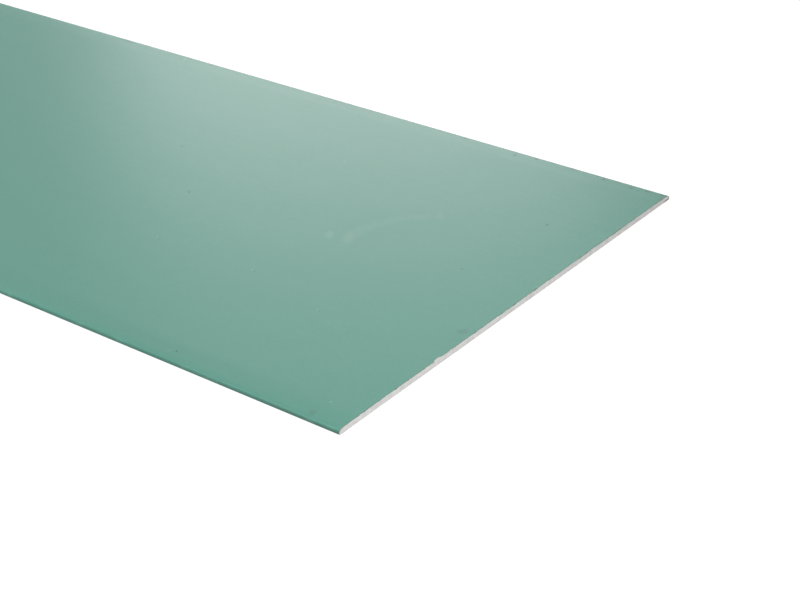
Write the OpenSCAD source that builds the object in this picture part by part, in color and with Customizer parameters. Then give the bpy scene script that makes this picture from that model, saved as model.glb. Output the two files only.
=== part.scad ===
// Moisture-resistant drywall sheet with half-round tapered long edges.
// A gypsum core is cast between two papers: the green face paper is folded round both long
// edges, and the grey back paper is glued over the flaps that the face paper leaves on the back.
// The sheet lies face up. X runs along its length, Y across its width and Z up, and the origin
// is at the middle of its back, on the surface that it lies on.

/* [Sheet] */
// Length of the sheet between its two cut ends
sheet_length = 2500; // [600:50:3600]
// Width of the sheet over its two paper-bound edges
sheet_width = 1200; // [600:50:1250]
// Thickness of the sheet over both papers, away from the edges
sheet_thickness = 12.5; // [9.5:0.5:18]

/* [Long edges] */
// Width of the taper that the face has along each long edge
taper_width = 50; // [30:5:80]
// How far the taper falls below the face by the edge of the sheet
taper_depth = 1.5; // [0.5:0.25:2.5]
// Radius of the corner between the nose of the edge and the back
back_corner_radius = 2; // [1:0.25:3]

/* [Face paper] */
// Thickness of the face paper
face_paper_thickness = 0.4; // [0.2:0.05:0.7]
// Width of the flap that the face paper folds onto the back, from the edge of the sheet
flap_width = 25; // [18:1:40]

/* [Back paper] */
// Thickness of the back paper
back_paper_thickness = 0.35; // [0.2:0.05:0.7]
// Width of the flap's strip that the back paper leaves bare, from the edge of the sheet
bare_strip = 8; // [5:1:15]

/* [Hidden] */
$fn = 96;

half_width = sheet_width / 2;
taper_angle = atan(taper_depth / taper_width);
// The flaps lie on the back paper, so the folded face paper starts at its thickness
flap_level = back_paper_thickness;
// The nose and the back corner meet where the edge stands upright
nose_level = flap_level + back_corner_radius;
// The nose fills what is left above that level, so that its top lies in the taper
nose_radius = (sheet_thickness - taper_depth - nose_level) / (1 - taper_depth / taper_width);
flap_edge = half_width - flap_width;
back_paper_edge = half_width - bare_strip;

// Band of the section from its middle to a distance short of the edge
module band(short_of_edge, from, to) {
    translate([-half_width, from]) square([half_width - short_of_edge, to - from]);
}

// Face and taper of one half of the section, moved inwards by inset, with the edge at Y = 0
module under_taper(inset) {
    polygon([
        [-half_width, flap_level + inset],
        [0, flap_level + inset],
        [0, sheet_thickness - taper_depth - inset / cos(taper_angle)],
        [-taper_width - inset * tan(taper_angle / 2), sheet_thickness - inset],
        [-half_width, sheet_thickness - inset],
    ]);
}

// Nose and back corner of that half, and the two bands that reach into them
module rounded_edge(inset) {
    nose = nose_radius - inset;
    corner = back_corner_radius - inset;
    intersection() {
        translate([-nose_radius, nose_level]) circle(nose);
        translate([-2 * nose_radius, nose_level]) square(2 * nose_radius);
    }
    translate([-back_corner_radius, nose_level]) circle(corner);
    band(back_corner_radius, 0, nose_level + corner);
    band(nose_radius - nose * sin(taper_angle), 0, sheet_thickness);
}

// Section of what the face paper wraps, moved inwards by inset
module wrapped_section(inset) {
    for (side = [0, 1]) mirror([side, 0]) translate([half_width, 0]) intersection() {
        under_taper(inset);
        rounded_edge(inset);
    }
}

// Part of the section between the two flaps, where nothing lies between core and back paper
module between_flaps(height) {
    translate([-flap_edge, flap_level]) square([2 * flap_edge, height]);
}

// Runs a section drawn in Y and Z along the whole length of the sheet
module along_sheet() {
    rotate([90, 0, 90]) linear_extrude(sheet_length, center = true) children();
}

module gypsum_core() {
    color("gainsboro") along_sheet() {
        wrapped_section(face_paper_thickness);
        between_flaps(face_paper_thickness);
    }
}

module face_paper() {
    color("cadetblue") along_sheet() difference() {
        wrapped_section(0);
        wrapped_section(face_paper_thickness);
        between_flaps(face_paper_thickness);
    }
}

module back_paper() {
    color("tan") translate([-sheet_length / 2, -back_paper_edge, 0])
        cube([sheet_length, 2 * back_paper_edge, back_paper_thickness]);
}

gypsum_core();
face_paper();
back_paper();
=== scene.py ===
# %% [markdown]
# # A moisture-resistant drywall sheet
#
# The sheet is a gypsum core between two papers. The green face paper is folded round both long
# edges and onto the back, and the grey back paper is glued over its flaps. It lies face up, with
# one cut end towards the camera. The packed model gives every size and place that it holds, and
# this lesson dresses it. The camera comes first, then the rule that makes a layer, the finishes,
# the three layers and the studio.

import math

import bpy
import numpy
from mathutils import Matrix, Vector


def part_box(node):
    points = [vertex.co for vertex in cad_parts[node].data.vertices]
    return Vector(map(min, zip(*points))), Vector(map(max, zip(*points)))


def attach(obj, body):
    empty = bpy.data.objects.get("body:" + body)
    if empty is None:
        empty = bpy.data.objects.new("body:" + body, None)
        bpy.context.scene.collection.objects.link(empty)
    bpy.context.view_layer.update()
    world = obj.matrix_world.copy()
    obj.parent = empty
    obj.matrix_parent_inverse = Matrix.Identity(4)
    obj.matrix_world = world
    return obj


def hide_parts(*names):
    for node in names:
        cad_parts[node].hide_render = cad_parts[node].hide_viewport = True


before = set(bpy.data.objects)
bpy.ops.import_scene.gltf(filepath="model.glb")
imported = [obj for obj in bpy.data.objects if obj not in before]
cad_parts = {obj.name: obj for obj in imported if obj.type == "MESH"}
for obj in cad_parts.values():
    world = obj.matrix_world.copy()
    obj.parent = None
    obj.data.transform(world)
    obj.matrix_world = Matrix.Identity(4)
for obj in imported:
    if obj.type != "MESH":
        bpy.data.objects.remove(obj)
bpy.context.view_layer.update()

# %% [markdown]
# ## Sizes of the sheet
#
# The length, the widths and the thicknesses are read from the boxes of the packed nodes, so the
# pieces fit the model whatever its size. The packed model doesn't state the taper, the corner and
# the flap, and these are repeated here in metres. The mill presses the taper into wet board, so it
# starts softly, over twice the blend, and ends in a soft shoulder above the nose.

# %% Sizes of the sheet
half_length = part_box("face_paper")[1].x
half_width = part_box("face_paper")[1].y
sheet_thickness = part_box("face_paper")[1].z
back_paper_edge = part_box("back_paper")[1].y
back_paper_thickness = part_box("back_paper")[1].z
face_paper_thickness = half_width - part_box("gypsum_core")[1].y
taper_width = 0.050
taper_depth = 0.0015
taper_blend = 0.012
shoulder_width = 0.018
shoulder_angle = math.radians(60)
back_corner_radius = 0.002
flap_width = 0.025
taper_slope = taper_depth / taper_width
taper_angle = math.atan(taper_slope)
nose_level = back_paper_thickness + back_corner_radius
nose_radius = (sheet_thickness - taper_depth - nose_level) / (1 - taper_slope)
print(f"sheet {2 * half_length:.3f} x {2 * half_width:.3f} x {sheet_thickness:.4f} m")
print(f"nose radius {nose_radius * 1000:.2f} mm, face paper {face_paper_thickness * 1000:.2f} mm")

# %% [markdown]
# ## The camera
#
# The camera was fitted to the outline of the sheet in the photograph: the far edge, the near edge
# and both lines of the cut end. It looks down on the sheet over its near corner, with a medium
# telephoto lens. The fit says where that corner lies in the camera's own axes, and the camera goes
# where this holds. It comes first, because the marks on the face are placed through it.

# %% Camera
image_width = 800
image_height = 600
focal_pixels = 1718.1
camera_yaw = math.radians(36.49)
camera_elevation = math.radians(28.87)
near_corner = Vector((half_length, -half_width, 0))
near_corner_in_view = Vector((-0.1069, -0.2389, -3.0277))

camera_right = Vector((math.cos(camera_yaw), math.sin(camera_yaw), 0))
camera_back = Vector((
    math.sin(camera_yaw) * math.cos(camera_elevation),
    -math.cos(camera_yaw) * math.cos(camera_elevation),
    math.sin(camera_elevation),
))
camera_up = camera_back.cross(camera_right)
camera_axes = Matrix((camera_right, camera_up, camera_back)).transposed()
camera_place = near_corner - camera_axes @ near_corner_in_view

camera_data = bpy.data.cameras.new("camera")
camera_data.lens = focal_pixels / image_width * camera_data.sensor_width
camera = bpy.data.objects.new("camera", camera_data)
camera.matrix_world = Matrix.Translation(camera_place) @ camera_axes.to_4x4()
bpy.context.scene.collection.objects.link(camera)
bpy.context.scene.camera = camera
print(f"camera at {[round(v, 3) for v in camera_place]}, lens {camera_data.lens:.1f} mm")


# %% From a pixel to the face
def on_face(pixel_x, pixel_y):
    """The place on the face that shows at a pixel."""
    sideways = camera_right * (pixel_x - image_width / 2)
    upwards = camera_up * (image_height / 2 - pixel_y)
    ray = sideways + upwards - camera_back * focal_pixels
    return camera_place + ray * ((sheet_thickness - camera_place.z) / ray.z)


picture_middle = on_face(image_width / 2, image_height / 2)
print("at the middle of the picture the face is at", picture_middle.to_tuple(3))

# %% [markdown]
# ## The outline of the section
#
# Seen from its cut end, every layer of the sheet lies between two lines that run across it. The
# face paper lies between its outside and its inside, and the core between the inside of the papers
# above and below. So the section needs only one outline that can be moved inwards. It is drawn
# from the middle of the face down to the tip of the nose, and on from there to the back. The soft
# shoulder bends at the point where the line of the taper meets the line that touches the nose.
# Curve objects hold the lines, because geometry nodes can sample a curve anywhere on its way.


# %% Lines of the section
def arc(centre, radius, first, last, step=math.radians(3)):
    """Points of an arc in Y and Z, from one angle to another."""
    count = max(2, math.ceil(abs(last - first) / step))
    angles = [first + (last - first) * i / count for i in range(count + 1)]
    return [(centre[0] + radius * math.cos(a), centre[1] + radius * math.sin(a)) for a in angles]


def soft_bend(start, corner, end, count=10):
    """Points of a bend from start to end, whose ends run along straight lines to the corner."""
    points = []
    for i in range(count + 1):
        share = i / count
        weights = ((1 - share) ** 2, 2 * share * (1 - share), share**2)
        axes = zip(start, corner, end)
        points.append(tuple(sum(w * value for w, value in zip(weights, axis)) for axis in axes))
    return points


def upper_half(inset):
    """The outline from the middle of the face down to the tip of the nose, moved inwards."""
    face = sheet_thickness - inset
    taper_top = half_width - taper_width - inset * math.tan(taper_angle / 2)
    start = soft_bend(
        (taper_top - taper_blend, face),
        (taper_top, face),
        (taper_top + taper_blend, face - taper_slope * taper_blend),
    )
    nose = arc((half_width - nose_radius, nose_level), nose_radius - inset, shoulder_angle, 0)
    nose_y, nose_z = nose[0]
    steepness = 1 / math.tan(shoulder_angle)
    corner_y = (nose_z + nose_y * steepness - face - taper_top * taper_slope) / (steepness - taper_slope)
    shoulder_y = half_width - shoulder_width
    shoulder = soft_bend(
        (shoulder_y, face - taper_slope * (shoulder_y - taper_top)),
        (corner_y, face - taper_slope * (corner_y - taper_top)),
        nose[0],
    )
    return start + shoulder + nose[1:]


def corner_half(inset):
    """The outline from the tip of the nose down to the back, moved inwards."""
    corner_centre = (half_width - back_corner_radius, nose_level)
    return arc(corner_centre, back_corner_radius - inset, 0, -math.pi / 2)


def core_back_half(inset):
    """The core's back from its middle to the tip of the nose, with the step that takes the flap."""
    flap_end = half_width - flap_width
    step = [(flap_end, back_paper_thickness), (flap_end, back_paper_thickness + inset)]
    return step + corner_half(inset)[::-1]


def wrap_half(inset):
    """The way of the face paper from the middle of the face to the end of the flap."""
    flap_end = (half_width - flap_width, back_paper_thickness + inset)
    return upper_half(inset) + corner_half(inset)[1:] + [flap_end]


def section_line(name, half):
    """A curve across the sheet, its left half the mirror image of its right half."""
    points = [(-y, z) for y, z in reversed(half)] + half
    curve = bpy.data.curves.new(name, "CURVE")
    curve.dimensions = "3D"
    spline = curve.splines.new("POLY")
    spline.points.add(len(points) - 1)
    for point, (y, z) in zip(spline.points, points):
        point.co = (0, y, z, 1)
    line = bpy.data.objects.new(name, curve)
    bpy.context.scene.collection.objects.link(line)
    return line


section_lines = {
    "core_top": section_line("core_top", upper_half(face_paper_thickness)),
    "core_back": section_line("core_back", core_back_half(face_paper_thickness)),
    "wrap_outside": section_line("wrap_outside", wrap_half(0)),
    "wrap_inside": section_line("wrap_inside", wrap_half(face_paper_thickness)),
    "back_top": section_line("back_top", [(back_paper_edge, back_paper_thickness)]),
    "back_under": section_line("back_under", [(back_paper_edge, 0)]),
}
print({name: len(line.data.splines[0].points) for name, line in section_lines.items()})

# %% [markdown]
# ## Writing node trees as sums
#
# Node trees make the shapes and the finishes here, and most of their nodes are arithmetic. A small
# class wraps a node's output so that Python's own operators add the Math nodes, and one method
# adds every other node, with its settings first and then what goes into its sockets.


# %% Wires and trees
class Wire:
    """A node's output that can be used in a sum."""

    def __init__(self, tree, socket):
        self.tree = tree
        self.socket = socket

    def other(self, output):
        """Another output of the same node."""
        return Wire(self.tree, self.socket.node.outputs[output])

    def maths(self, operation, *terms):
        return self.tree.node("ShaderNodeMath", {"operation": operation}, dict(enumerate(terms)))

    def __add__(self, term):
        return self.maths("ADD", self, term)

    def __sub__(self, term):
        return self.maths("SUBTRACT", self, term)

    def __rsub__(self, term):
        return self.maths("SUBTRACT", term, self)

    def __mul__(self, term):
        return self.maths("MULTIPLY", self, term)

    def __abs__(self):
        return self.maths("ABSOLUTE", self)

    def largest(self, term):
        return self.maths("MAXIMUM", self, term)

    def sign(self):
        return self.maths("SIGN", self)

    def above(self, level):
        """1 where this is above a level, and 0 elsewhere."""
        return self.maths("GREATER_THAN", self, level)

    __radd__ = __add__
    __rmul__ = __mul__


class Tree:
    """A node tree, and the one way in which nodes get into it."""

    def __init__(self, node_tree):
        self.node_tree = node_tree
        node_tree.nodes.clear()

    def node(self, kind, settings=None, sockets=None, output=0):
        node = self.node_tree.nodes.new(kind)
        for name, value in (settings or {}).items():
            setattr(node, name, value)
        for name, value in (sockets or {}).items():
            if isinstance(value, Wire):
                self.node_tree.links.new(value.socket, node.inputs[name])
            else:
                node.inputs[name].default_value = value
        return Wire(self, node.outputs[output]) if node.outputs else node

    def parts(self, vector):
        """The X, Y and Z of a vector."""
        x = self.node("ShaderNodeSeparateXYZ", {}, {"Vector": vector}, "X")
        return x, x.other("Y"), x.other("Z")

    def join(self, x, y, z):
        return self.node("ShaderNodeCombineXYZ", {}, {"X": x, "Y": y, "Z": z})

    def step(self, value, start, end):
        """A smooth step, from 0 where value is at start to 1 where it is at end."""
        limits = {"Value": value, "From Min": start, "From Max": end}
        return self.node("ShaderNodeMapRange", {"interpolation_type": "SMOOTHSTEP"}, limits)

    def noise(self, place, scale, detail=2, roughness=0.5):
        """Soft noise from 0 to 1, with scale in bumps to the metre."""
        sockets = {"Vector": place, "Scale": scale, "Detail": detail, "Roughness": roughness}
        return self.node("ShaderNodeTexNoise", {}, sockets)

    def cells(self, place, scale):
        """Distance to the middle of the nearest of many scattered cells."""
        return self.node("ShaderNodeTexVoronoi", {}, {"Vector": place, "Scale": scale}, "Distance")

    def lot(self, near):
        """A lot from 0 to 1 that is drawn once for every cell."""
        return self.node("ShaderNodeTexWhiteNoise", {}, {"Vector": near.other("Position")}, "Value")

    def stretch(self, place, *factors):
        """A place scaled by X, Y and Z factors, so that a pattern is longer one way."""
        return self.node("ShaderNodeVectorMath", {"operation": "MULTIPLY"}, {0: place, 1: factors})

    def mix(self, kind, factor, first, second, clamp=True):
        """The way from one value to another. A Mix node has two sockets for each kind of value."""
        first_socket, result = {"VECTOR": (4, 1), "RGBA": (6, 2)}[kind]
        settings = {"data_type": kind, "clamp_factor": clamp}
        sockets = {0: factor, first_socket: first, first_socket + 1: second}
        return self.node("ShaderNodeMix", settings, sockets, result)

    def blend(self, factor, first, second):
        """The way from one colour to another, by a factor from 0 to 1."""
        return self.mix("RGBA", factor, first, second)


reflected = [name for name in vars(Wire) if name.startswith("__r")]
print("operators that also take a number on their left:", reflected)

# %% [markdown]
# ## The layers, made by geometry nodes
#
# All three layers follow one rule: a fine block is squeezed between two lines of the section and
# stretched to the length of the sheet. The block's Y runs along the lines and its Z from the lower
# to the upper line, and its last rows in X lie close to the ends. Three layers modelled by hand
# would hardly fit each other, so one tree with named inputs makes them all.


# %% Helpers of a geometry tree
def geometry_tree(name, inputs):
    """A geometry node tree with named inputs, and the node that gives them."""
    node_tree = bpy.data.node_groups.new(name, "GeometryNodeTree")
    for socket_name, (kind, value) in inputs.items():
        socket = node_tree.interface.new_socket(socket_name, in_out="INPUT", socket_type=kind)
        if value is not None:
            socket.default_value = value
    node_tree.interface.new_socket("Geometry", in_out="OUTPUT", socket_type="NodeSocketGeometry")
    tree = Tree(node_tree)
    return tree, tree.node("NodeGroupInput")


def finish_geometry(tree, mesh, material):
    """The last nodes of every tree: real meshes only, with their material."""
    real = tree.node("GeometryNodeRealizeInstances", {}, {"Geometry": mesh})
    finished = tree.node("GeometryNodeSetMaterial", {}, {"Geometry": real, "Material": material})
    tree.node("NodeGroupOutput", {}, {"Geometry": finished})


def smooth_but_sharp(tree, mesh, limit):
    """Smooth shading with the edges whose angle is over a limit kept sharp."""
    sharp = tree.node("GeometryNodeInputMeshEdgeAngle").above(limit)
    smooth = tree.node("GeometryNodeSetShadeSmooth", {"domain": "FACE"}, {"Geometry": mesh})
    sockets = {"Geometry": smooth, "Selection": sharp, "Shade Smooth": False}
    return tree.node("GeometryNodeSetShadeSmooth", {"domain": "EDGE"}, sockets)


print("helpers:", geometry_tree.__name__, finish_geometry.__name__, smooth_but_sharp.__name__)

# %% [markdown]
# ## Wear of the cut ends
#
# The saw leaves the ends uneven. It eats both back a little, opens pores of all sizes in the
# gypsum, chips its rims where the noise says so, more at the face than at the back, and bends the
# edge of the paper into the same chips. Here and there the face paper is torn away and bare gypsum
# shows, mostly at one place of the near end, where the photograph has a bright dent in the line.
# Each kind of wear is a rule that gives a share or a depth at a spot. It could be sculpted, but
# rules give all four rims the same scale of wear, and the finish of the gypsum can ask them too.

# %% Rules of the wear
large_pore_scale = 200
large_pore_size = 0.50
tear_pixel = (437, 358.5)
tear_middle = on_face(*tear_pixel)
tear_half_width = 0.006
tear_fades_out = 0.015
deepest_chip = 0.0018


def pores(tree, spot, scale, largest):
    """Pores of all sizes, one in each scattered cell: 1 at the bottom of a pore, 0 beside it."""
    uneven = tree.noise(spot, scale * 1.5, 2) * 0.25
    near = tree.cells(spot, scale)
    lot = tree.lot(near)
    size = lot * lot * lot * largest
    return tree.step(near + uneven - 0.12, size, size * 0.2)


def chip_depth(tree, given, spot):
    """How deep the rims are chipped: about one place in 20 mm, shared by core and paper."""
    height = tree.parts(spot)[2] * (1 / sheet_thickness)
    chipped = tree.step(tree.noise(spot, 48, 2), 0.54, 0.74)
    return chipped * (height * 0.65 + 0.35) * given.other("Chip depth")


def torn(tree, spot, grain):
    """How far the face paper is torn away: 1 in the tear of the near end, less at small ones."""
    side, across, height = tree.parts(spot)
    beside = abs(across - tear_middle.y) + (grain - 0.5) * 0.010
    tear = tree.step(beside, tear_fades_out, tear_half_width)
    tear = tear * side.above(0)
    small_tears = tree.step(tree.noise(spot, 40, 3), 0.60, 0.72) * 0.6
    return tear.largest(small_tears) * height.above(sheet_thickness / 2)


def end_wear(tree, given, spot, rim):
    """How far a point of the cut end lies behind the end of the box."""
    grain = tree.noise(spot, 260, 3, 0.6)
    waves = tree.noise(spot, 35, 2)
    fray = given.other("Fray") * (grain * 0.6 + waves * 0.9)
    pits = given.other("Pore depth") * pores(tree, spot, large_pore_scale, large_pore_size)
    tear = given.other("Tear depth") * torn(tree, spot, grain)
    return fray + pits + tear + rim * chip_depth(tree, given, spot)


print("the tear is at", tear_middle.to_tuple(3))

# %% [markdown]
# ## Building the tree
#
# Each point of the block asks the rules with its place on the section and the side that it is on,
# so that all rows near one end wear alike and core and paper share their chips. The wear moves the
# point back along the sheet, so nothing reaches past the box. The point's height in its layer is
# kept as an attribute, because the finishes need it, and the points that fall together where the
# two lines of the core meet are welded.

# %% Inputs of the layer tree
end_rows_reach = 0.008
least_bend_reach = 0.00005
weld_distance = 0.000001
sharp_angle = math.radians(40)
layer_inputs = {
    "Lower line": ("NodeSocketObject", None),
    "Upper line": ("NodeSocketObject", None),
    "Half length": ("NodeSocketFloat", half_length),
    "Columns": ("NodeSocketInt", 1500),
    "Rows": ("NodeSocketInt", 2),
    "Rows along": ("NodeSocketInt", 2),
    "Fray": ("NodeSocketFloat", 0.0003),
    "Pore depth": ("NodeSocketFloat", 0.0),
    "Chip depth": ("NodeSocketFloat", deepest_chip),
    "Chipped rim": ("NodeSocketFloat", 0.0),
    "Burr": ("NodeSocketFloat", 0.0),
    "Tear depth": ("NodeSocketFloat", 0.0),
    "Material": ("NodeSocketMaterial", None),
}
tree, given = geometry_tree("sheet_layer", layer_inputs)
sheet_layer = tree.node_tree
print("inputs of a layer:", list(layer_inputs))

# %% A block between two lines
block_sockets = {
    "Size": (2, 1, 1),
    "Vertices X": given.other("Rows along"),
    "Vertices Y": given.other("Columns"),
    "Vertices Z": given.other("Rows"),
}
block = tree.node("GeometryNodeMeshCube", {}, block_sockets, "Mesh")
end, across, upwards = tree.parts(tree.node("GeometryNodeInputPosition"))
through = upwards + 0.5
line_points = []
for line_name in ("Lower line", "Upper line"):
    line = tree.node("GeometryNodeObjectInfo", {}, {"Object": given.other(line_name)}, "Geometry")
    sockets = {"Curves": line, "Factor": across + 0.5}
    line_points.append(tree.node("GeometryNodeSampleCurve", {"mode": "FACTOR"}, sockets, "Position"))
print("a block is squeezed between", len(line_points), "lines")

# %% Its worn ends
short_of_end = (1 - abs(end)) * (1 - abs(end)) * end_rows_reach
side = end.sign()
_, flat_y, flat_z = tree.parts(line_points[1])
chip_here = chip_depth(tree, given, tree.join(side, flat_y, flat_z))
bend = tree.step(short_of_end, chip_here + least_bend_reach, 0) * chip_here * given.other("Burr")
squeezed = tree.mix("VECTOR", through - bend, *line_points, clamp=False)
_, place_y, place_z = tree.parts(squeezed)
away_from_noses = tree.step(0.5 - abs(across), 0, 0.004)
rim = tree.step(abs(through * 2 - 1), 0.62, 1.0) * away_from_noses * given.other("Chipped rim")
eaten = end_wear(tree, given, tree.join(side, place_y, place_z), rim)
reach = side * (given.other("Half length") - short_of_end - eaten)
sockets = {"Geometry": block, "Name": "through", "Value": through}
marked = tree.node("GeometryNodeStoreNamedAttribute", {"data_type": "FLOAT", "domain": "POINT"}, sockets)
target = tree.join(reach, place_y, place_z)
placed = tree.node("GeometryNodeSetPosition", {}, {"Geometry": marked, "Position": target})
sockets = {"Geometry": placed, "Distance": weld_distance}
welded = tree.node("GeometryNodeMergeByDistance", {}, sockets)
finish_geometry(tree, smooth_but_sharp(tree, welded, sharp_angle), given.other("Material"))
print("layer tree:", len(sheet_layer.nodes), "nodes")

# %% [markdown]
# ## From a tree to a plain piece
#
# The tree runs as a modifier on an empty piece. Its inputs are set by the sockets' identifiers
# before it first runs, and its result is kept as a plain mesh, so nothing later depends on it.


# %% Turning a tree into a plain piece
def make_with_nodes(name, node_tree, inputs):
    """Runs a geometry node tree and keeps its result as a plain mesh at the origin."""
    piece = bpy.data.objects.new(name, bpy.data.meshes.new(name))
    bpy.context.scene.collection.objects.link(piece)
    modifier = piece.modifiers.new("rule", "NODES")
    modifier.node_group = node_tree
    for item in node_tree.interface.items_tree:
        if item.in_out == "INPUT" and item.name in inputs:
            modifier[item.identifier] = inputs[item.name]
    graph = bpy.context.evaluated_depsgraph_get()
    evaluated = piece.evaluated_get(graph)
    made = bpy.data.meshes.new_from_object(evaluated, preserve_all_data_layers=True, depsgraph=graph)
    piece.modifiers.remove(modifier)
    empty_mesh = piece.data
    piece.data = made
    bpy.data.meshes.remove(empty_mesh)
    made.name = name
    places = numpy.array([vertex.co for vertex in made.vertices]).round(5)
    triangles = sum(len(face.vertices) - 2 for face in made.polygons)
    print(f"{name}: {triangles} triangles, {places.min(axis=0)} to {places.max(axis=0)}")
    return piece


# %% [markdown]
# ## Starting a finish
#
# Every finish reads the place on the sheet in metres, so that its grain has its real size, and
# ends in one Principled shader. Paper is made on a wire that runs, so its fibres lie along the
# sheet, and what it shows is the same in both papers: short fibres, soft clouds of uneven pulp and
# long faint lines of the machine. These are built once, as three patterns from 0 to 1. The insides
# of both papers are dusted with the same gypsum.

# %% Helpers of the finishes
gypsum_dust = (0.640, 0.625, 0.595, 1)


def new_material(name):
    """A material and its empty tree."""
    material = bpy.data.materials.new(name)
    material.use_nodes = True
    return material, Tree(material.node_tree)


def place_on_sheet(tree):
    """The place on the sheet in metres."""
    return tree.node("ShaderNodeTexCoord", output="Object")


def way_through_layer(tree):
    """How far through its layer a point lies: 0 on the lower line and 1 on the upper one."""
    return tree.node("ShaderNodeAttribute", {"attribute_name": "through"}, output="Fac")


def surface(tree, colour, roughness, height):
    """The end of a finish: its colour, its roughness and its relief in metres."""
    bump = tree.node("ShaderNodeBump", {}, {"Strength": 1, "Distance": 1, "Height": height})
    sockets = {"Base Color": colour, "Roughness": roughness, "Normal": bump}
    shader = tree.node("ShaderNodeBsdfPrincipled", {}, sockets)
    tree.node("ShaderNodeOutputMaterial", {}, {"Surface": shader})


def paper_patterns(tree, place):
    """Fibres, clouds of pulp and lines of the paper machine, each from 0 to 1."""
    fibres = tree.noise(tree.stretch(place, 420, 1500, 1500), 1, 3, 0.65)
    clouds = tree.noise(tree.stretch(place, 24, 34, 34), 1, 3, 0.6)
    lines = tree.noise(tree.stretch(place, 0.8, 70, 70), 1, 3, 0.6)
    return fibres, clouds, lines


def flecks(tree, place, scale, share, size):
    """Small flecks in a share of scattered cells, 1 inside a fleck and 0 outside."""
    near = tree.cells(place, scale)
    lot = tree.lot(near)
    return tree.step(near, size, size * 0.5) * tree.step(lot, 1 - share, 1 - share * 0.8)


def strands(tree, place, scale):
    """Single fibres: short thin lines that wind where a noise passes through its middle."""
    along = tree.stretch(place, 0.6, 1, 1)
    winding = tree.step(abs(tree.noise(along, scale, 1) * 2 - 1), 0.07, 0.01)
    return winding * tree.step(tree.noise(place, scale * 0.9, 1), 0.50, 0.62)


print("colour of gypsum dust:", gypsum_dust[:3])

# %% [markdown]
# ## Marks on the face
#
# The face isn't clean: handling has left a pale smear, specks of dirt, short scratches and dark
# spots along the far edge. Three small dents are painted, each as a pale speck with a dark speck
# just below it: a painted highlight and its painted shadow. Each mark has the pixel of the
# photograph at its middle, its length and width in pixels, its turn in degrees and its strength.
# The camera says where the pixel lies on the sheet, and how one step to the right and one step up
# in the picture run on it, which turns the flat ellipse in the picture into another on the face. A
# Mapping node lays a unit circle over that ellipse, and the distance from its middle says how deep
# in the mark a point is.

# %% Pale marks
pale_marks = {
    "blob": (329, 234.5, 12, 8, 20, 0.085),
    "smear": (348.8, 237.2, 20, 14, 40, 0.088),
    "middle_of_smear": (358, 232, 30, 14, 28, 0.052),
    "upper_smear": (369, 227, 32, 10, 22, 0.036),
    "trail": (390, 221.5, 44, 8, 14, 0.028),
    "end_of_trail": (418, 217.5, 50, 8, 3, 0.022),
    "blob_after_trail": (440.5, 216, 10, 11, 0, 0.038),
    # The next three are the painted highlights of small dents, whose painted shadows are dark marks.
    "dent_highlight_left": (157.5, 236.8, 2.4, 2.0, 0, 0.14),
    "dent_highlight_middle": (252.5, 269.8, 2.4, 1.9, 0, 0.16),
    "dent_highlight_low": (318, 309.6, 2.4, 1.8, 0, 0.11),
    "speck_by_near_edge": (169, 350, 3.0, 2.0, 0, 0.06),
    "speck_far": (345.5, 161.5, 2.4, 2.0, 0, 0.14),
    "speck_top_left": (185, 59, 3.0, 2.2, 0, 0.20),
    "scratch_by_corner": (331, 401.8, 4.2, 1.5, 15, 0.20),
}
print(len(pale_marks), "pale marks")

# %% Dark marks
dark_marks = {
    "scratch": (462, 268.8, 4.6, 1.5, -22, 0.60),
    "speck_by_near_edge": (176.5, 351, 2.3, 1.9, 0, 1.00),
    "speck_upper_left": (189, 192, 2.4, 2.0, 0, 1.00),
    "speck_top_left": (182, 146, 2.4, 2.2, 0, 0.40),
    "speck_right": (547, 224.8, 2.4, 2.1, 0, 0.95),
    "speck_far_edge": (515, 155, 2.8, 2.3, 0, 0.85),
    # The next three are the painted shadows of the small dents whose painted highlights are pale marks.
    "dent_shadow_left": (159, 238.3, 2.2, 1.8, 0, 0.40),
    "dent_shadow_middle": (254, 271.2, 2.2, 1.8, 0, 0.40),
    "dent_shadow_low": (319.2, 311, 2.2, 1.8, 0, 0.30),
    "smudge_by_end": (462.5, 331.5, 17, 6, 0, 0.24),
    "smudge_by_corner": (312.5, 412, 12, 6.5, 20, 0.22),
    "far_corner": (663, 194.8, 10, 3.0, -14, 0.50),
    "edge_scuff_left": (128, 40.9, 15, 1.9, -17, 0.45),
    "edge_speck_left": (464.8, 137.8, 3.2, 1.9, -15, 0.80),
    "edge_speck_middle": (536.5, 158.6, 3.6, 2.0, -15, 1.00),
    "edge_scuff_right": (574, 169.7, 5.0, 1.8, -10, 0.40),
    "edge_speck_right": (603.5, 178.9, 4.6, 2.0, -10, 0.80),
    "edge_scuff_by_speck": (618.5, 182.1, 8, 1.8, -15, 0.40),
    "edge_speck_by_corner": (631.2, 187.6, 4.2, 2.0, -10, 0.65),
    "far_edge_by_corner": (648, 191.2, 9, 2.6, -14, 0.40),
    "rim_by_far_corner": (661, 198.3, 8, 2.4, 32, 0.35),
}
print(len(dark_marks), "dark marks")

# %% From an ellipse in pixels to a mask
mark_starts = 1.20
mark_is_full = 0.25
any_height = 1000


def ellipse_on_face(pixel_x, pixel_y, length, width, turn):
    """Middle, turn and two half sizes on the face of an ellipse that is drawn in pixels."""
    middle = on_face(pixel_x, pixel_y)
    to_right = (on_face(pixel_x + 1, pixel_y) - middle).xy
    to_top = (on_face(pixel_x, pixel_y - 1) - middle).xy
    cosine, sine = math.cos(math.radians(turn)), math.sin(math.radians(turn))
    long_half = (to_right * cosine + to_top * sine) * length / 2
    short_half = (to_top * cosine - to_right * sine) * width / 2
    axes, sizes, _ = numpy.linalg.svd(numpy.array((long_half, short_half)).T)
    return middle, math.atan2(axes[1][0], axes[0][0]), sizes


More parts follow.
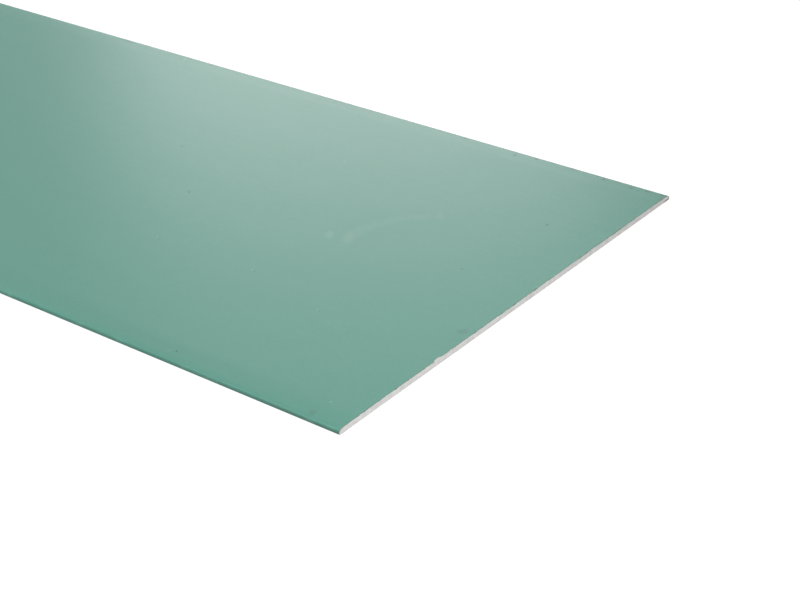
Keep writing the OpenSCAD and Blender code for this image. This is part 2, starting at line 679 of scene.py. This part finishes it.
def marks_mask(tree, place, marks, ragged):
    """The strength of the strongest mark at a point, and 0 outside them all."""
    mask = None
    for *ellipse, strength in marks.values():
        middle, turn, sizes = ellipse_on_face(*ellipse)
        sockets = {
            "Vector": place,
            "Location": (middle.x, middle.y, 0),
            "Rotation": (0, 0, turn),
            "Scale": (sizes[0], sizes[1], any_height),
        }
        local = tree.node("ShaderNodeMapping", {"vector_type": "TEXTURE"}, sockets)
        distance = tree.node("ShaderNodeVectorMath", {"operation": "LENGTH"}, {0: local}, "Value")
        this_mark = tree.step(distance + ragged, mark_starts, mark_is_full) * strength
        mask = this_mark if mask is None else mask.largest(this_mark)
    return mask


blob_middle, _, blob_halves = ellipse_on_face(*pale_marks["blob"][:-1])
blob_length, blob_width = 2 * blob_halves
print(f"the blob is {blob_length:.3f} x {blob_width:.3f} m, at {blob_middle.to_tuple(3)}")

# %% [markdown]
# ## The green face paper
#
# The face paper is recycled board dyed green in its outer ply and sized against moisture, with a
# dull sheen. Its colour follows the fibres, the pulp and the lines of the machine, with single
# paler and darker fibres and a few flecks.

# %% The face paper as it comes from the mill
deep_green = (0.050, 0.222, 0.166, 1)
light_green = (0.067, 0.252, 0.193, 1)
clouded_green = (0.064, 0.232, 0.178, 1)
pale_fibre = (0.150, 0.360, 0.290, 1)
dark_fibre = (0.035, 0.150, 0.115, 1)
dark_fleck = (0.035, 0.120, 0.095, 1)
pale_fleck = (0.260, 0.420, 0.350, 1)

green_paper, tree = new_material("green_face_paper")
place = place_on_sheet(tree)
fibres, clouds, lines = paper_patterns(tree, place)
broad = tree.noise(place, 1.7, 2)
pale_strands = strands(tree, place, 420)
dark_strands = strands(tree, place, 560)
tone = fibres * 0.70 + clouds * 0.18 + lines * 0.12
colour = tree.blend(tree.step(tone, 0.25, 0.75), deep_green, light_green)
colour = tree.blend(pale_strands * 0.35, colour, pale_fibre)
colour = tree.blend(dark_strands * 0.45, colour, dark_fibre)
colour = tree.blend(tree.step(broad, 0.35, 0.70) * 0.4, colour, clouded_green)
colour = tree.blend(flecks(tree, place, 330, 0.05, 0.16) * 0.5, colour, dark_fleck)
colour = tree.blend(flecks(tree, place, 270, 0.05, 0.14) * 0.5, colour, pale_fleck)
print("new face paper:", len(green_paper.node_tree.nodes), "nodes")

# %% [markdown]
# ## Its wear
#
# The marks lie on top of the paper, with ragged edges. Handling has rubbed the noses paler and
# duller, and left grime in patches on top of the far nose. A band along each shoulder is painted
# lighter, a painted highlight, and the lower nose is painted darker, more so by the cut ends:
# painted shade. At both cut ends the last millimetre or two is grey, partly rub of the saw and
# partly painted shade of the cut edge, with darker blotches painted as the shade of chips.

# %% Marks on the face paper
# Pale marks are scuffs, and painted highlights for the dents; dark marks are dirt, and painted shadows
# for the dents.
scuff_and_highlight = (0.560, 0.640, 0.590, 1)
dirt_and_shadow = (0.024, 0.080, 0.062, 1)
ragged = (tree.noise(place, 260, 3, 0.6) - 0.5) * 0.8
pale = marks_mask(tree, place, pale_marks, ragged) * tree.step(fibres, 0.20, 0.60)
dark = marks_mask(tree, place, dark_marks, ragged)
colour = tree.blend(pale, colour, scuff_and_highlight)
colour = tree.blend(dark, colour, dirt_and_shadow)
print("with its marks:", len(green_paper.node_tree.nodes), "nodes")

# %% Rub, painted highlight and painted shade of the noses
rub_and_highlight_green = (0.220, 0.480, 0.380, 1)
nose_shade_colour = (0.046, 0.060, 0.050, 1)
dirty_green = (0.030, 0.078, 0.060, 1)
place_x, place_y, place_z = tree.parts(place)
from_edge = half_width - abs(place_y)
nose_rub = tree.step(from_edge, 0.006, 0) * tree.step(clouds, 0.50, 0.70) * 0.25
# A band along the shoulder is painted lighter: a painted highlight. The rub of the nose is real wear.
shoulder_highlight = tree.step(from_edge, 0.016, 0.006) * tree.step(from_edge, 0.0006, 0.0026) * 0.08
colour = tree.blend(nose_rub + shoulder_highlight, colour, rub_and_highlight_green)
# The lower nose is painted darker, more so by the cut ends: painted shade.
by_end = tree.step(half_length - abs(place_x), 0.35, 0)
lower_nose_shade = tree.step(place_z, 0.0075, 0.0045) * 0.20 + tree.step(place_z, 0.0100, 0.0045) * by_end * 0.20
colour = tree.blend(lower_nose_shade, colour, nose_shade_colour)
by_far_edge = tree.step(place_y, half_width - 0.014, half_width - 0.008)
far_shoulder = by_far_edge * tree.step(place_z, 0.0065, 0.0090)
dirty_patches = tree.step(tree.noise(tree.stretch(place, 0.45, 1, 1), 90, 3), 0.46, 0.68)
colour = tree.blend(far_shoulder * dirty_patches * 0.60, colour, dirty_green)
print("with its noses:", len(green_paper.node_tree.nodes), "nodes")

# %% Rub of the saw and painted shade of the cut line
grey_rub_and_shade = (0.215, 0.245, 0.212, 1)
dark_chip_shade = (0.060, 0.078, 0.064, 1)
# The grey band at each cut end is partly rub of the saw and partly painted shade of the cut edge, and
# its dark blotches are painted shade of chips.
uneven = (tree.noise(place, 220, 3) - 0.5) * 0.0012 + (tree.noise(place, 75, 2) - 0.5) * 0.0036
behind_end = half_length - abs(place_x) + uneven
saw_rub_and_shade = tree.step(behind_end, 0.0021, 0.0009)
chip_shade_blotches = tree.step(tree.noise(tree.stretch(place, 0.1, 1, 1), 80, 2), 0.52, 0.68)
rub_and_shade_colour = tree.blend(chip_shade_blotches, grey_rub_and_shade, dark_chip_shade)
colour = tree.blend(saw_rub_and_shade * 0.9, colour, rub_and_shade_colour)
print("with its sawn ends:", len(green_paper.node_tree.nodes), "nodes")

# %% [markdown]
# ## Its plies and sheen
#
# Only the outer ply is green: below it the paper is grey-brown, and its inside is dusted with
# gypsum. An attribute of the layer tells them apart, from 0 on its inside to 1 on its outside.
# What is rubbed, scuffed or bare shines less than the green face.

# %% Plies, roughness and relief of the face paper
dark_ply = (0.170, 0.135, 0.100, 1)
light_ply = (0.330, 0.285, 0.225, 1)
depth_in_paper = way_through_layer(tree)
inner_ply = tree.step(depth_in_paper + (fibres - 0.5) * 0.2, 0.86, 0.74)
ply_colour = tree.blend(fibres, dark_ply, light_ply)
colour = tree.blend(inner_ply, colour, ply_colour)
dusted = tree.step(depth_in_paper + (clouds - 0.5) * 0.1, 0.14, 0.02)
colour = tree.blend(dusted * 0.8, colour, gypsum_dust)
roughness = 0.38 + fibres * 0.05 + pale * 0.3 + saw_rub_and_shade * 0.2 + inner_ply * 0.3
roughness = roughness + tree.step(from_edge, 0.012, 0.006) * 0.08
relief = fibres * 0.00004 + clouds * 0.00004 + broad * 0.0003 + pale * 0.0001
relief = relief + pale_strands * 0.00003 + dark_strands * 0.00002
surface(tree, colour, roughness, relief)
print("green face paper:", len(green_paper.node_tree.nodes), "nodes")

# %% [markdown]
# ## The cast gypsum
#
# The core is foamed gypsum, which dries to a matt off-white. Its cut end shows fine pores from the
# foam, faint upright strokes of the saw, grey specks, and a denser, whiter skin next to the papers.
# The large pores are already cut into the mesh: the same rule finds them here, to paint shade into
# them and to sharpen their rims, and the finish adds the small ones, as painted shade and bump, and
# the crumbs. Where the face paper is torn off, grey fibres of its inner ply are left on the gypsum.
# By the far corner the foot and the nose of the cut end are painted darker: painted shade.

# %% Grain and pores of the gypsum
gypsum, tree = new_material("cast_gypsum")
place = place_on_sheet(tree)
place_x, place_y, place_z = tree.parts(place)
cloudy = tree.noise(place, 60, 4, 0.6)
crumbs = tree.noise(place, 1300, 3, 0.7)
strokes = tree.noise(tree.stretch(place, 500, 900, 90), 1, 3, 0.6)
spot = tree.join(place_x.sign(), place_y, place_z)
large_pores = pores(tree, spot, large_pore_scale, large_pore_size)
small_pores = pores(tree, place, 620, 0.62)
print("patterns of the gypsum:", len(gypsum.node_tree.nodes), "nodes")

# %% Colour of the sawn gypsum
grey_gypsum = (0.670, 0.665, 0.650, 1)
white_gypsum = (0.880, 0.878, 0.860, 1)
low_gypsum = (0.760, 0.735, 0.725, 1)
dense_gypsum = (0.860, 0.865, 0.840, 1)
# Pores are painted darker inside: painted shade.
small_pore_shade = (0.430, 0.410, 0.380, 1)
large_pore_shade = (0.420, 0.400, 0.370, 1)
grey_specks = (0.330, 0.310, 0.280, 1)
height_share = place_z * (1 / sheet_thickness)
skin = tree.step(abs(height_share * 2 - 1), 0.72, 0.92)
core_tone = cloudy * 0.6 + strokes * 0.4
colour = tree.blend(tree.step(core_tone, 0.30, 0.70), grey_gypsum, white_gypsum)
colour = tree.blend(tree.step(height_share, 0.55, 0.15) * 0.25, colour, low_gypsum)
colour = tree.blend(skin * 0.5, colour, dense_gypsum)
colour = tree.blend(small_pores * 0.50, colour, small_pore_shade)
colour = tree.blend(large_pores * 0.45, colour, large_pore_shade)
colour = tree.blend(flecks(tree, place, 320, 0.08, 0.22) * 0.6, colour, grey_specks)
print("with its colours:", len(gypsum.node_tree.nodes), "nodes")

# %% Torn paper, painted shade and relief of the gypsum
torn_ply = (0.560, 0.540, 0.510, 1)
# By the far corner the foot and the nose of the cut end are painted darker: painted shade.
far_corner_shade = (0.170, 0.160, 0.150, 1)
under_paper = tree.step(place_z, sheet_thickness - 0.0008, sheet_thickness - 0.0005)
colour = tree.blend(under_paper * (cloudy * 0.8 + 0.4), colour, torn_ply)
from_far_edge = half_width - place_y
shaded_foot = tree.step(from_far_edge, 0.028, 0.016) * tree.step(place_z, 0.0052, 0.0030)
shaded_nose = tree.step(from_far_edge, 0.0050, 0.0020)
shaded_far_corner = shaded_foot.largest(shaded_nose) * place_x.above(0)
colour = tree.blend(shaded_far_corner * (0.35 + cloudy * 0.75), colour, far_corner_shade)
relief = cloudy * 0.00030 + strokes * 0.00012 + crumbs * 0.00010
relief = relief - small_pores * 0.00020 - large_pores * 0.00030
surface(tree, colour, 0.82 + cloudy * 0.14, relief)
print("gypsum:", len(gypsum.node_tree.nodes), "nodes")

# %% [markdown]
# ## The grey back paper
#
# The back paper is undyed recycled board, grey-brown with many dark and pale flecks of old print
# and fibre, and more open and rougher than the face. It shares the patterns of the face paper.

# %% Finish of the back paper
dark_grey_brown = (0.270, 0.235, 0.190, 1)
light_grey_brown = (0.400, 0.355, 0.295, 1)
old_print = (0.120, 0.110, 0.100, 1)
old_fibre = (0.560, 0.520, 0.450, 1)

grey_paper, tree = new_material("grey_back_paper")
place = place_on_sheet(tree)
fibres, clouds, lines = paper_patterns(tree, place)
tone = fibres * 0.45 + clouds * 0.35 + lines * 0.20
colour = tree.blend(tree.step(tone, 0.30, 0.70), dark_grey_brown, light_grey_brown)
colour = tree.blend(flecks(tree, place, 260, 0.14, 0.22) * 0.6, colour, old_print)
colour = tree.blend(flecks(tree, place, 330, 0.12, 0.20) * 0.6, colour, old_fibre)
dusted = tree.step(way_through_layer(tree), 0.80, 0.98)
colour = tree.blend(dusted * 0.8, colour, gypsum_dust)
relief = fibres * 0.00006 + clouds * 0.00008 + strands(tree, place, 380) * 0.00005
surface(tree, colour, 0.72 + fibres * 0.16, relief)
print("back paper:", len(grey_paper.node_tree.nodes), "nodes")

# %% [markdown]
# ## Making the three layers
#
# The same tree makes every layer. The core has rows of points all over its cut ends, for its pores
# and chips. The face paper has rows along the sheet instead, close to its ends, so that it can
# bend down into the chips: where a chip is deepest, by nearly three times its thickness. The back
# paper is only frayed.

# %% The three layers
deepest_bend = 2.88
core = make_with_nodes("core_of_gypsum", sheet_layer, {
    "Lower line": section_lines["core_back"],
    "Upper line": section_lines["core_top"],
    "Columns": 1700,
    "Rows": 21,
    "Fray": 0.0007,
    "Pore depth": 0.0008,
    "Chipped rim": 1.0,
    "Material": gypsum,
})
wrap = make_with_nodes("wrapped_face_paper", sheet_layer, {
    "Lower line": section_lines["wrap_inside"],
    "Upper line": section_lines["wrap_outside"],
    "Columns": 1700,
    "Rows along": 16,
    "Burr": deepest_bend / deepest_chip,
    "Tear depth": 0.0034,
    "Material": green_paper,
})
backing = make_with_nodes("backing_paper", sheet_layer, {
    "Lower line": section_lines["back_under"],
    "Upper line": section_lines["back_top"],
    "Material": grey_paper,
})

# %% Put the pieces on the sheet
for piece, node, slot in (
    (core, "gypsum_core", "gypsum"),
    (wrap, "face_paper", "face_paper"),
    (backing, "back_paper", "back_paper"),
):
    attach(piece, "root")
    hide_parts(node)
for line in section_lines.values():
    bpy.data.objects.remove(line)
print("pieces on the sheet:", core.name, wrap.name, backing.name)

# %% [markdown]
# ## The floor and the sky
#
# The photograph shows the sheet on pure white, with no shadow to speak of. Here the floor is grey
# to the light, so that it throws little light up at the edges, and gives out light of its own only
# towards the camera and in reflections. That makes it white wherever it gets half of full light,
# with a faint shadow where it gets less. The sky does the same: it is white to look at, and lights
# the sheet at a plain level.

# %% Floor
floor_reach = 20
floor_level = -0.0002
floor_grey = 0.16
light_in_shadow = 0.5
floor_mesh = bpy.data.meshes.new("floor")
corner_signs = ((-1, -1), (1, -1), (1, 1), (-1, 1))
floor_corners = [(x * floor_reach, y * floor_reach, floor_level) for x, y in corner_signs]
floor_mesh.from_pydata(floor_corners, [], [(0, 1, 2, 3)])
floor = bpy.data.objects.new("floor", floor_mesh)
bpy.context.scene.collection.objects.link(floor)
print("floor of", 2 * floor_reach, "m at", floor_level, "m")


# %% Light of the floor and the sky
def seen_directly(tree):
    """1 for what the camera sees, mirrors or looks through, and 0 for light that is scattered."""
    camera_ray = tree.node("ShaderNodeLightPath", output="Is Camera Ray")
    mirrored = camera_ray.largest(camera_ray.other("Is Glossy Ray"))
    return mirrored.largest(camera_ray.other("Is Transmission Ray"))


floor_material, tree = new_material("floor")
matt = tree.node("ShaderNodeBsdfDiffuse", {}, {"Color": (floor_grey, floor_grey, floor_grey, 1)})
glow_strength = seen_directly(tree) * (1 - floor_grey * light_in_shadow)
glow = tree.node("ShaderNodeEmission", {}, {"Strength": glow_strength})
both = tree.node("ShaderNodeAddShader", {}, {0: matt, 1: glow})
tree.node("ShaderNodeOutputMaterial", {}, {"Surface": both})
floor_mesh.materials.append(floor_material)

sky_light = 0.44
world = bpy.data.worlds.new("studio")
bpy.context.scene.world = world
world.use_nodes = True
tree = Tree(world.node_tree)
strength = sky_light + seen_directly(tree) * (1 - sky_light)
sky = tree.node("ShaderNodeBackground", {}, {"Color": (1, 1, 1, 1), "Strength": strength})
tree.node("ShaderNodeOutputWorld", {}, {"Surface": sky})
print("floor grey", floor_grey, "and sky light", sky_light)

# %% [markdown]
# ## Softboxes
#
# Softboxes add what the sky can't. One stands low behind the far edge and gives the green face its
# soft sheen, brightest at the far left. One hangs in front, so that the nose stays bright down to
# its lower third. One stands close to the near half of the cut end, so that the end is brightest
# there and fades towards the far corner, and one on the left fills the end that the photograph
# hides. The Standard view shows colours as they are written.


# %% Softboxes
def softbox(name, bearing, elevation, distance, target, width, height, watts):
    """A rectangular lamp on a dome round the sheet, turned to a target."""
    level = distance * math.cos(math.radians(elevation))
    place = Vector((
        level * math.cos(math.radians(bearing)),
        level * math.sin(math.radians(bearing)),
        distance * math.sin(math.radians(elevation)),
    ))
    lamp = bpy.data.lights.new(name, "AREA")
    lamp.shape = "RECTANGLE"
    lamp.size = width
    lamp.size_y = height
    lamp.energy = watts
    box = bpy.data.objects.new(name, lamp)
    box.location = place
    box.rotation_euler = (Vector(target) - place).to_track_quat("-Z", "Y").to_euler()
    bpy.context.scene.collection.objects.link(box)
    print(f"{name}: {[round(v, 2) for v in place]}, {watts} W")


softbox("softbox_behind", 117.4, 20.4, 4.0, (0, 0, 0), 2.36, 0.46, 29)
softbox("softbox_right", -13.8, 15.2, 3.04, (1.25, -0.3, 0), 2.2, 1.6, 26.6)
softbox("softbox_in_front", -90, 48, 4.0, (0, 0, 0), 3.0, 2.0, 78)
softbox("softbox_left", 180, 25, 4.0, (-0.5, 0, 0), 2.5, 2.0, 35)
bpy.context.scene.view_settings.view_transform = "Standard"

# %% [markdown]
# ## The box of the sheet
#
# The finish may take a little off the sheet, but adds nothing outside the packed model's box.
